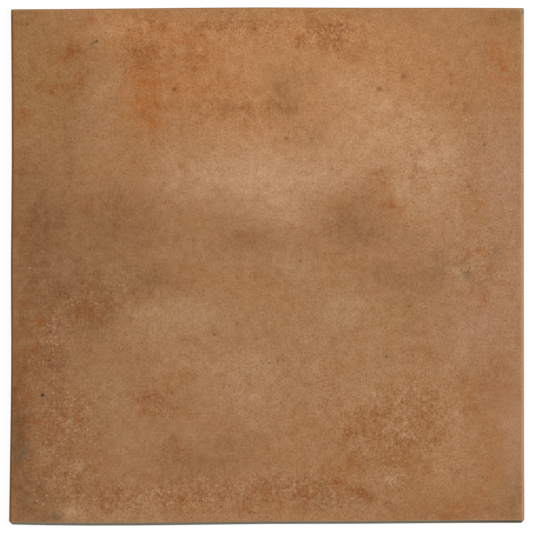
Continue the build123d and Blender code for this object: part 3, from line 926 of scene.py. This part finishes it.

# Rusty spots, dark pinholes and light spots, as x, y, radius and strength. The light spots are painted
# highlights on small pits; a scratch is a row of them.
placedMarks = {
    "rustySpots": {
        "tint": linear(130, 74, 30),
        "places": [
            (71.6, 113.2, 1.7, 0.6), (87.2, 121.3, 2.0, 0.6), (98, 126, 1.0, 0.5),
            (117, 122.5, 0.9, 0.5), (117.7, 117, 0.8, 0.45), (126, 104, 0.9, 0.5),
            (126, 99.5, 0.8, 0.45), (105, 87, 0.8, 0.5), (139, 77, 1.2, 0.55), (12, 81.5, 1.2, 0.65),
            (-113, -28, 0.9, 0.6), (-83, -7, 0.9, 0.6), (-154, 58.5, 0.8, 0.7), (-97.5, 25.7, 0.8, 0.7),
            (21, 3, 1.0, 0.6), (-99, -23, 0.8, 0.6), (-19, -38, 0.9, 0.6), (-34, -44.5, 0.9, 0.7),
            (51, -109, 0.9, 0.7), (76, -152, 1.0, 0.7), (-59.5, 113, 1.2, 0.8),
            (-153.8, 154.8, 1.0, 0.6), (-138.4, 111.1, 1.1, 0.6), (-158.9, 92.5, 0.8, 0.6),
            (-88.5, 151, 0.8, 0.5), (128.3, 50.5, 1.0, 0.5),
        ],
    },
    "pinholes": {
        "tint": linear(52, 42, 32),
        "places": [
            (-143.5, -83.5, 1.0, 1.0), (73.3, 112.6, 0.7, 0.4), (91, -26.5, 0.6, 0.7),
            (76, -58.5, 0.6, 0.9), (-103.5, 149.6, 0.7, 0.6), (-11, -158, 0.7, 0.7),
            (0, -161, 0.6, 0.6), (75, -153, 0.6, 0.5), (-152.5, -104, 0.6, 0.6),
            (133.1, 35.3, 0.6, 0.45), (140.4, 22, 0.5, 0.4), (-113, 142.2, 0.5, 0.4),
            (-111.8, 142.7, 0.6, 0.5), (-110.6, 143.2, 0.7, 0.6), (-109.4, 143.8, 0.9, 0.8),
            (-138.6, -42.8, 0.7, 0.8), (-137.4, -41.8, 0.5, 0.6), (-136.2, -41, 0.4, 0.4),
            (55.7, -119.6, 0.6, 0.6), (-113, -52.6, 0.5, 0.5), (-113.2, -53.8, 0.5, 0.5),
            (-113.5, -55, 0.4, 0.4),
        ],
    },
    "pitHighlightsAndScratch": {
        # painted highlights on small pits, and a pale scratch
        "tint": linear(226, 204, 176),
        "places": [
            (-151.8, -1.9, 0.5, 0.5), (127.3, 93.2, 0.6, 0.5), (140, 23, 0.45, 0.3),
            (131, 15.5, 0.4, 0.3), (120.9, 32.4, 0.4, 0.3), (121, 31, 0.4, 0.35),
            (121.1, 29.6, 0.4, 0.3), (132.4, 36.5, 0.5, 0.3), (137.5, 51.8, 0.45, 0.35),
            (-125, -22, 0.4, 0.5), (-118, -38, 0.5, 0.4),
        ],
    },
}


def softOval(places, x, y, across, along, strength, turn=0):
    # full strength at the heart of a stain, a third at its reach, and fading on from there
    swing = math.radians(turn)
    overX, overY = places[:, 0] - x, places[:, 1] - y
    u = (overX * math.cos(swing) + overY * math.sin(swing)) / across
    v = (overY * math.cos(swing) - overX * math.sin(swing)) / along
    return strength * np.exp(-1.1 * (u * u + v * v))


def driftedPlaces(places):
    # where each point of the face looks for its stains, so that none keeps its oval
    drifted = places.copy()
    noise.seed_set(faceLook["driftSeed"])
    for length, reach in faceLook["drift"]:
        drifted += [reach * noise.noise_vector(Vector((x, y, length)) / length).xy for x, y in places]
    return drifted


def paintMasks(tile):
    # every layer of stains becomes a mask that is stored on the mesh
    corners = np.empty(len(tile.data.vertices) * 3)
    tile.data.vertices.foreach_get("co", corners)
    drifted = driftedPlaces(corners.reshape(-1, 3)[:, :2] / mm)
    layers = {**washLayers, **stainLayers, "spots": spotLayer, "fleckZone": fleckZones}
    for name, layer in layers.items():
        total = layer["strength"] * sum(softOval(drifted, *patch) for patch in layer["patches"])
        tile.data.attributes.new(name, "FLOAT", "POINT").data.foreach_set("value", total)
    print("stains painted,", sum(len(layer["patches"]) for layer in layers.values()), "patches")


def tilePoint(board):
    # the place on the tile in millimetres
    place = board.add("ShaderNodeTexCoord").outputs["Object"]
    return board.vector("SCALE", place, scale=1 / mm)


def flatPoint(board, point):
    # the same place seen from above
    split = board.add("ShaderNodeSeparateXYZ")
    board.put(split.inputs[0], point)
    join = board.add("ShaderNodeCombineXYZ")
    board.put(join.inputs[0], split.outputs[0])
    board.put(join.inputs[1], split.outputs[1])
    return join.outputs[0], split.outputs


def markAt(board, shaken, places):
    # 1 at the heart of each placed mark, fading to nothing outside it
    mask = 0.0
    for x, y, radius, strength in places:
        away = board.vector("DISTANCE", shaken, (x, y, 0))
        mask = board.math("MAXIMUM", mask, board.ramp(away, radius * 1.4, radius * 0.4, 0.0, strength))
    return mask


def shakenPoint(board, flat):
    # pulls what is drawn with it out of round
    pull = board.add("ShaderNodeTexNoise", noise_dimensions="2D")
    board.put(pull.inputs["Vector"], flat)
    board.put(pull.inputs["Scale"], 1.0)
    centred = board.vector("SUBTRACT", pull.outputs["Color"], (0.5, 0.5, 0.5))
    return board.vector("MULTIPLY", board.vector("ADD", flat, centred), (1, 1, 0))


def makeGlaze(groups):
    # the stained and flecked glaze of the face, which also runs down the flank
    board, given, out = newGroup(
        "stainedGlaze", {"Point": vector}, {"Color": colour, "Roughness": number, "Height": number})
    flat, parts = flatPoint(board, given["Point"])

    def painted(name):
        return board.add("ShaderNodeAttribute", attribute_name=name).outputs["Fac"]

    # stains, frayed by noises that the layers take in turn
    frays = []
    for seed, size in enumerate(faceLook["fraySizes"], start=11):
        frays.append(board.noise(flat, size, 5.0, 0.66, seed))
    face = faceLook["ground"]
    for order, (name, layer) in enumerate({**washLayers, **stainLayers}.items()):
        fray = board.ramp(frays[order % len(frays)], *faceLook["frayEdge"],
                          1 - layer["break"], 1 + layer["break"], smooth=False)
        face = board.mix(board.math("MULTIPLY", painted(name), fray, clamp=True), face, layer["tint"])
    face = board.mix(painted("spots"), face, spotLayer["tint"])
    # painted highlight, with thinner glaze, along the right edge
    rimGlazeAndLight = board.ramp(parts[0], *rimGlazeAndHighlight["from"], 0.0, rimGlazeAndHighlight["strength"])
    face = board.mix(rimGlazeAndLight, face, rimGlazeAndHighlight["tint"])

    # flecks
    cloud = board.noise(flat, fleckCloud["size"], 2.0, 0.5, 33)
    cloud = board.ramp(cloud, *fleckCloud["edge"], *fleckCloud["cover"])
    zone = painted("fleckZone")
    for kind, look in fleckLook.items():
        crowd = board.math("ADD", board.math("MULTIPLY", zone, look["zone"]),
                           board.math("MULTIPLY", cloud, look["cloud"]))
        onStain = board.math("MULTIPLY", painted(look["stain"]), look["onStain"])
        cover = board.math("ADD", crowd, onStain, clamp=True)
        fleck = board.group(groups[kind], Point=flat, Cover=cover)["Mask"]
        face = board.mix(board.math("MULTIPLY", fleck, look["strength"]), face, look["tint"])

    # mottle and grain swing between rusty and chalky more than between dark and light
    mottle = board.noise(flat, faceLook["mottleSize"], 4.0, 0.66, 21)
    grain = board.noise(flat, faceLook["grainSize"], 2.0, 0.6, 22)
    coarse = board.ramp(mottle, 0.0, 1.0, -faceLook["mottle"], faceLook["mottle"], smooth=False)
    fine = board.ramp(grain, 0.0, 1.0, -faceLook["grain"], faceLook["grain"], smooth=False)
    lively = board.ramp(zone, *faceLook["livelyZone"], *faceLook["liveliness"], smooth=False)
    swing = board.math("MULTIPLY", board.math("ADD", coarse, fine), lively)
    gain = board.vector("ADD", (1, 1, 1), board.vector("SCALE", faceLook["swing"], scale=swing))
    warmth = board.noise(flat, faceLook["warmthSize"], 3.0, 0.6, 25)
    warmth = board.ramp(warmth, 0.0, 1.0, -faceLook["warmth"], faceLook["warmth"], smooth=False)
    gain = board.vector("ADD", gain, board.vector("SCALE", faceLook["warmSwing"], scale=warmth))
    face = board.vector("MULTIPLY", face, gain)

    # pinholes
    holes = board.group(groups["pits"], Point=flat, Spacing=pitLook["spacing"], Radius=pitLook["radius"],
                        Share=pitLook["share"])["Mask"]
    holes = board.math("MULTIPLY", holes, pitLook["strength"])
    face = board.mix(holes, face, pitLook["tint"])
    shaken = shakenPoint(board, flat)
    for look in placedMarks.values():
        mark = markAt(board, shaken, look["places"])
        face = board.mix(mark, face, look["tint"])
        holes = board.math("MAXIMUM", holes, mark)

    board.put(out["Color"], face)
    board.put(out["Roughness"], board.ramp(mottle, 0.3, 0.7, *faceLook["roughness"], smooth=False))
    tooth = board.group(groups["grain"], Point=given["Point"])["Height"]
    board.put(out["Height"], board.math("SUBTRACT", board.math("MULTIPLY", tooth, faceLook["toothDepth"]),
                                        board.math("MULTIPLY", holes, pitLook["depth"])))
    return board.tree


def newMaterial(name):
    material = bpy.data.materials.new(name)
    material.use_nodes = True
    return material, NodeBoard(material.node_tree)


def finishShader(board, tint, rough, height, shine):
    shader = board.tree.nodes["Principled BSDF"]
    board.put(shader.inputs["Base Color"], tint)
    board.put(shader.inputs["Roughness"], rough)
    shader.inputs["Specular IOR Level"].default_value = shine
    bump = board.add("ShaderNodeBump")
    bump.inputs["Distance"].default_value = mm
    board.put(bump.inputs["Height"], height)
    board.put(shader.inputs["Normal"], bump.outputs["Normal"])


def chippedAt(board, flat):
    # 1 where the corner is chipped down to the body
    inChip = board.vector("SUBTRACT", flat, (*cornerChip["centre"], 0))
    inChip = board.vector("DIVIDE", inChip, (*cornerChip["reach"], 1))
    return board.ramp(board.vector("DISTANCE", inChip, (0, 0, 0)), *cornerChip["bareEdge"])


def glazedFace(groups):
    material, board = newMaterial("glazedFace")
    point = tilePoint(board)
    flat, _ = flatPoint(board, point)
    glaze = board.group(groups["glaze"], Point=point)
    body = board.group(groups["body"], Point=point)
    tint = board.mix(chippedAt(board, flat), glaze["Color"], body["Color"])
    finishShader(board, tint, glaze["Roughness"], glaze["Height"], faceLook["shine"])
    return material


# Each side of the flank as its axis, the way it faces along it, its tint and how much of that shows. The
# tints are painted light: each side, and the front edge's glaze and bare clay, are lightened to how light
# fell on them.
flankLook = {
    "turn": (160.0, 162.0),  # a side's painted light comes in between these distances from the middle
    "glazeFoot": (3.2, 8.55),  # height at which the glaze stops, round the sides and along the front
    "shine": 0.0,
    "sides": {
        "left": (0, -1, linear(212, 142, 76), 0.5),
        "right": (0, 1, linear(208, 162, 130), 0.42),
        "back": (1, 1, linear(226, 158, 98), 0.55),
    },
    "frontTurn": (-0.9, -2.1),  # y plus the size of x, where a corner turns into the front
    # painted light: the front edge's glaze and its bare clay are lightened
    "front": (linear(190, 160, 132), 0.55),
    "frontLitClay": (linear(182, 172, 148), 0.7),
    "frontRightShade": (linear(92, 76, 48), 0.75),  # painted shade, darkest towards the front right corner
    "shadeAlong": (80.0, 180.0),
    "edgeStray": 0.35,  # how far the glaze's lower edge strays up and down
    "edgeFade": (-0.15, 0.25),
}


def glazedFlank(groups):
    material, board = newMaterial("glazedFlank")
    point = tilePoint(board)
    flat, parts = flatPoint(board, point)
    glaze = board.group(groups["glaze"], Point=point)
    body = board.group(groups["body"], Point=point)
    tint = glaze["Color"]
    near, full = flankLook["turn"]
    # each side of the flank is lightened towards its tint: painted light
    for axis, way, sideLitTint, share in flankLook["sides"].values():
        tint = board.mix(board.ramp(parts[axis], way * near, way * full, 0.0, share), tint, sideLitTint)
    onFront = board.math("ADD", parts[1], board.math("ABSOLUTE", parts[0]))
    onFront = board.ramp(onFront, *flankLook["frontTurn"])
    # painted light on the glaze of the front edge
    frontLitTint, frontLitShare = flankLook["front"]
    tint = board.mix(board.math("MULTIPLY", onFront, frontLitShare), tint, frontLitTint)

    # bare clay at the foot, and along the front edge from its top down
    # painted light on the bare clay of the front edge
    litClayTint, litClayShare = flankLook["frontLitClay"]
    clay = board.mix(board.math("MULTIPLY", onFront, litClayShare), body["Color"], litClayTint)
    # painted shade darkens the bare front edge towards the front right corner
    shadeTint, shadeShare = flankLook["frontRightShade"]
    frontShadeMask = board.ramp(parts[0], *flankLook["shadeAlong"], 0.0, shadeShare)
    clay = board.mix(board.math("MULTIPLY", onFront, frontShadeMask), clay, shadeTint)
    limit = board.ramp(onFront, 0.0, 1.0, *flankLook["glazeFoot"])
    stray = flankLook["edgeStray"]
    edge = board.math("ADD", limit, board.ramp(body["Height"], 0.3, 0.7, -stray, stray, smooth=False))
    bare = board.ramp(board.math("SUBTRACT", edge, parts[2]), *flankLook["edgeFade"])
    bare = board.math("MAXIMUM", bare, chippedAt(board, flat))
    finishShader(board, board.mix(bare, tint, clay), glaze["Roughness"], glaze["Height"], flankLook["shine"])
    return material


def bareBody(groups):
    material, board = newMaterial("bareBody")
    point = tilePoint(board)
    flat, _ = flatPoint(board, point)
    body = board.group(groups["body"], Point=point)
    holes = board.group(groups["pits"], Point=flat, Spacing=barePits["spacing"], Radius=barePits["radius"],
                        Share=barePits["share"])["Mask"]
    shown = board.math("MULTIPLY", holes, barePits["strength"])
    tint = board.mix(shown, body["Color"], bodyLook["darkSpeck"])
    height = board.math("SUBTRACT", board.math("MULTIPLY", body["Height"], bodyLook["toothDepth"]),
                        board.math("MULTIPLY", holes, barePits["depth"]))
    rough = board.ramp(body["Height"], 0.3, 0.7, *bodyLook["roughness"])
    finishShader(board, tint, rough, height, faceLook["shine"])
    return material


# Floor, light and camera

stageLook = {
    "floorReach": 20.0,  # metres
    "floorDrop": 0.1,  # the floor lies this far under the tile, so that the two never coincide
    "floorWhite": 0.14,
    "floorGlow": 0.92,
    "skyLight": 0.5,
    "keyPower": 42.0,
    "keySize": 1.5,
    "keyPlace": (1.7, 0.3, 1.9),
}

cameraLook = {
    "distance": 5100.0,
    "tilt": 4.5,  # degrees from straight down, towards the front edge
    "pixels": 533,
    "pixelsPerMm": 1.5622,
    "sensor": 36.0,
    "aim": (-0.443, -0.39, 2.6),
    "clip": (0.1, 50.0),  # metres
}


def seenDirectly(board):
    # 1 for what the camera sees itself, in a mirror or through glass
    path = board.add("ShaderNodeLightPath").outputs
    both = board.math("MAXIMUM", path["Is Camera Ray"], path["Is Glossy Ray"])
    return board.math("MAXIMUM", both, path["Is Transmission Ray"])


def setFloor():
    reach = stageLook["floorReach"]
    mesh = bpy.data.meshes.new("floor")
    mesh.from_pydata([(-reach, -reach, 0), (reach, -reach, 0), (reach, reach, 0), (-reach, reach, 0)], [],
                     [(0, 1, 2, 3)])
    floor = bpy.data.objects.new("floor", mesh)
    floor.location.z = -stageLook["floorDrop"] * mm
    bpy.context.scene.collection.objects.link(floor)
    material, board = newMaterial("whiteFloor")
    board.tree.nodes.remove(board.tree.nodes["Principled BSDF"])
    matt = board.add("ShaderNodeBsdfDiffuse")
    white = stageLook["floorWhite"]
    matt.inputs["Color"].default_value = (white, white, white, 1)
    glow = board.add("ShaderNodeEmission")
    board.put(glow.inputs["Strength"], board.math("MULTIPLY", seenDirectly(board), stageLook["floorGlow"]))
    both = board.add("ShaderNodeAddShader")
    board.put(both.inputs[0], matt.outputs[0])
    board.put(both.inputs[1], glow.outputs[0])
    board.put(board.tree.nodes["Material Output"].inputs["Surface"], both.outputs[0])
    mesh.materials.append(material)


def setLight():
    world = bpy.data.worlds.new("studio")
    bpy.context.scene.world = world
    world.use_nodes = True
    board = NodeBoard(world.node_tree)
    sky = board.tree.nodes["Background"]
    sky.inputs["Color"].default_value = (1, 1, 1, 1)
    board.put(sky.inputs["Strength"], board.ramp(seenDirectly(board), 0.0, 1.0, stageLook["skyLight"], 1.0))

    lamp = bpy.data.lights.new("keyLight", "AREA")
    lamp.energy = stageLook["keyPower"]
    lamp.size = stageLook["keySize"]
    key = bpy.data.objects.new("keyLight", lamp)
    key.location = stageLook["keyPlace"]
    key.rotation_euler = (-Vector(stageLook["keyPlace"])).to_track_quat("-Z", "Y").to_euler()
    key.visible_camera = False
    bpy.context.scene.collection.objects.link(key)


def setCamera():
    look = cameraLook
    data = bpy.data.cameras.new("camera")
    data.sensor_width = look["sensor"]
    data.lens = look["pixelsPerMm"] * look["distance"] * look["sensor"] / look["pixels"]
    data.clip_start, data.clip_end = look["clip"]
    camera = bpy.data.objects.new("camera", data)
    tilt = math.radians(look["tilt"])
    back = Vector((0, -math.sin(tilt), math.cos(tilt)))
    camera.location = (Vector(look["aim"]) + back * look["distance"]) * mm
    camera.rotation_euler = (tilt, 0, 0)
    bpy.context.scene.collection.objects.link(camera)
    bpy.context.scene.camera = camera


tile = buildTile()
grain = makeGrain()
groups = {
    "grain": grain,
    "pits": makePits(),
    "body": makeBareBody(grain),
}
for order, (kind, look) in enumerate(fleckLook.items()):
    groups[kind] = makeFlecks(look, 31 + 14 * order)
paintMasks(tile)
groups["glaze"] = makeGlaze(groups)
for makeMaterial in (glazedFace, glazedFlank, bareBody):
    tile.data.materials.append(makeMaterial(groups))
print("materials made")

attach(tile, "root")
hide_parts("tile")

setFloor()
setLight()
setCamera()
bpy.context.scene.view_settings.view_transform = "Standard"
print("floor, light and camera set")
